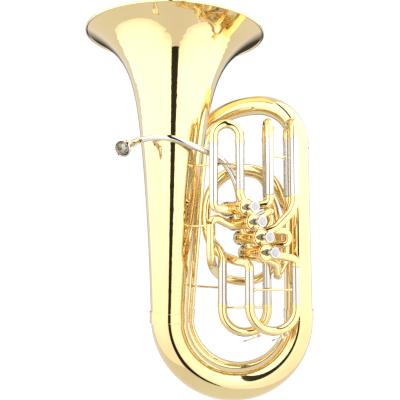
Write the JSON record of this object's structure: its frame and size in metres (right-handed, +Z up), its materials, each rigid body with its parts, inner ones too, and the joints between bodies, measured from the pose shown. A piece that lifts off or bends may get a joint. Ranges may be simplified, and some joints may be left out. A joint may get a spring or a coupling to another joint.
{
  "type": "tuba",
  "caption": "Bell-up concert tuba: flared conical bell, round bottom bow, inner loops, front-action piston valves, pull slides and detachable mouthpiece.",
  "frame": {"origin": "centre of the overall box at the lowest point of the bottom bow", "axes": "+Z up towards the bell's mouth, -Y the side of the valves and the player, +X from the bell towards the outer branch"},
  "size_m": [0.5515, 0.438, 0.8884],
  "materials": {
    "lacquered_brass": "polished and lacquered",
    "nickel_silver": "polished nickel silver",
    "pearl": "pearl button inlay",
    "felt": "pressed felt",
    "cork": "natural cork",
    "spring_steel": "drawn spring wire"
  },
  "bodies": {
    "horn": {"bell": "lacquered_brass", "bell_rim": "lacquered_brass", "bottom_bow": "lacquered_brass", "outer_branch": "lacquered_brass", "top_bow": "lacquered_brass", "inner_branch_left": "lacquered_brass", "inner_bottom_bow": "lacquered_brass", "inner_branch_right": "lacquered_brass", "ferrules": "lacquered_brass", "main_ring": "lacquered_brass", "fourth_valve_coil": "lacquered_brass", "leadpipe": "nickel_silver", "mouthpiece_receiver": "nickel_silver", "valve_casing_1": "lacquered_brass", "valve_casing_2": "lacquered_brass", "valve_casing_3": "lacquered_brass", "valve_casing_4": "lacquered_brass", "top_caps": "lacquered_brass", "bottom_caps": "nickel_silver", "felt_washers": "felt", "valve_knuckles": "lacquered_brass", "first_valve_tubing": "lacquered_brass", "third_valve_tubing": "lacquered_brass", "fourth_valve_tubing": "lacquered_brass", "main_tubing": "lacquered_brass", "first_slide_sleeves": "nickel_silver", "second_slide_sleeves": "nickel_silver", "third_slide_sleeves": "nickel_silver", "fourth_upper_sleeves": "nickel_silver", "fourth_lower_sleeves": "nickel_silver", "main_slide_sleeves": "nickel_silver", "braces": "lacquered_brass", "valve_spring_1": "spring_steel", "valve_spring_2": "spring_steel", "valve_spring_3": "spring_steel", "valve_spring_4": "spring_steel"},
    "piston_1": {"piston_1": "nickel_silver", "button_1": "nickel_silver", "pearl_1": "pearl"},
    "piston_2": {"piston_2": "nickel_silver", "button_2": "nickel_silver", "pearl_2": "pearl"},
    "piston_3": {"piston_3": "nickel_silver", "button_3": "nickel_silver", "pearl_3": "pearl"},
    "piston_4": {"piston_4": "nickel_silver", "button_4": "nickel_silver", "pearl_4": "pearl"},
    "first_slide": {"first_slide": "lacquered_brass"},
    "second_slide": {"second_slide": "lacquered_brass"},
    "third_slide": {"third_slide": "lacquered_brass"},
    "fourth_upper_slide": {"fourth_upper_slide": "lacquered_brass"},
    "fourth_lower_slide": {"fourth_lower_slide": "lacquered_brass"},
    "main_tuning_slide": {"main_tuning_slide": "lacquered_brass"},
    "main_water_key": {"main_water_key": "nickel_silver", "main_water_key_cork": "cork"},
    "fourth_water_key": {"fourth_water_key": "nickel_silver", "fourth_water_key_cork": "cork"},
    "mouthpiece": {"mouthpiece": "nickel_silver"}
  },
  "joints": [
    {"name": "valve_1", "type": "slide", "parent": "horn", "child": "piston_1", "axis": [-0.5, 0.866, 0], "range_m": [0, 0.02], "stiffness_N_per_m": 110, "springref_m": -0.03, "deforming": ["valve_spring_1"]},
    {"name": "valve_2", "type": "slide", "parent": "horn", "child": "piston_2", "axis": [-0.5, 0.866, 0], "range_m": [0, 0.02], "stiffness_N_per_m": 110, "springref_m": -0.03, "deforming": ["valve_spring_2"]},
    {"name": "valve_3", "type": "slide", "parent": "horn", "child": "piston_3", "axis": [-0.5, 0.866, 0], "range_m": [0, 0.02], "stiffness_N_per_m": 110, "springref_m": -0.03, "deforming": ["valve_spring_3"]},
    {"name": "valve_4", "type": "slide", "parent": "horn", "child": "piston_4", "axis": [-0.5, 0.866, 0], "range_m": [0, 0.02], "stiffness_N_per_m": 110, "springref_m": -0.03, "deforming": ["valve_spring_4"]},
    {"name": "first_slide_pull", "type": "slide", "parent": "horn", "child": "first_slide", "axis": [0, 0, 1], "range_m": [0, 0.06]},
    {"name": "second_slide_pull", "type": "slide", "parent": "horn", "child": "second_slide", "axis": [0.9063, 0, 0.4226], "range_m": [0, 0.01]},
    {"name": "third_slide_pull", "type": "slide", "parent": "horn", "child": "third_slide", "axis": [0, 0, 1], "range_m": [0, 0.06]},
    {"name": "fourth_upper_slide_pull", "type": "slide", "parent": "horn", "child": "fourth_upper_slide", "axis": [0, 0, 1], "range_m": [0, 0.06]},
    {"name": "fourth_lower_slide_pull", "type": "slide", "parent": "horn", "child": "fourth_lower_slide", "axis": [0, 0, -1], "range_m": [0, 0.05]},
    {"name": "main_tuning_slide_pull", "type": "slide", "parent": "horn", "child": "main_tuning_slide", "axis": [0, 0, -1], "range_m": [0, 0.05]},
    {"name": "main_water_key_press", "type": "hinge", "parent": "main_tuning_slide", "child": "main_water_key", "pos_m": [0.12504, -0.048, 0.15095], "axis": [0, 1, 0], "range_deg": [0, 14], "stiffness_Nm_per_rad": 0.02, "springref_deg": -25},
    {"name": "fourth_water_key_press", "type": "hinge", "parent": "fourth_lower_slide", "child": "fourth_water_key", "pos_m": [0.18737, -0.074, 0.15662], "axis": [0, 1, 0], "range_deg": [0, 14], "stiffness_Nm_per_rad": 0.02, "springref_deg": -25},
    {"name": "mouthpiece_pull", "type": "slide", "parent": "horn", "child": "mouthpiece", "axis": [-0.3346, -0.8716, -0.3584], "range_m": [0, 0.03]}
  ]
}
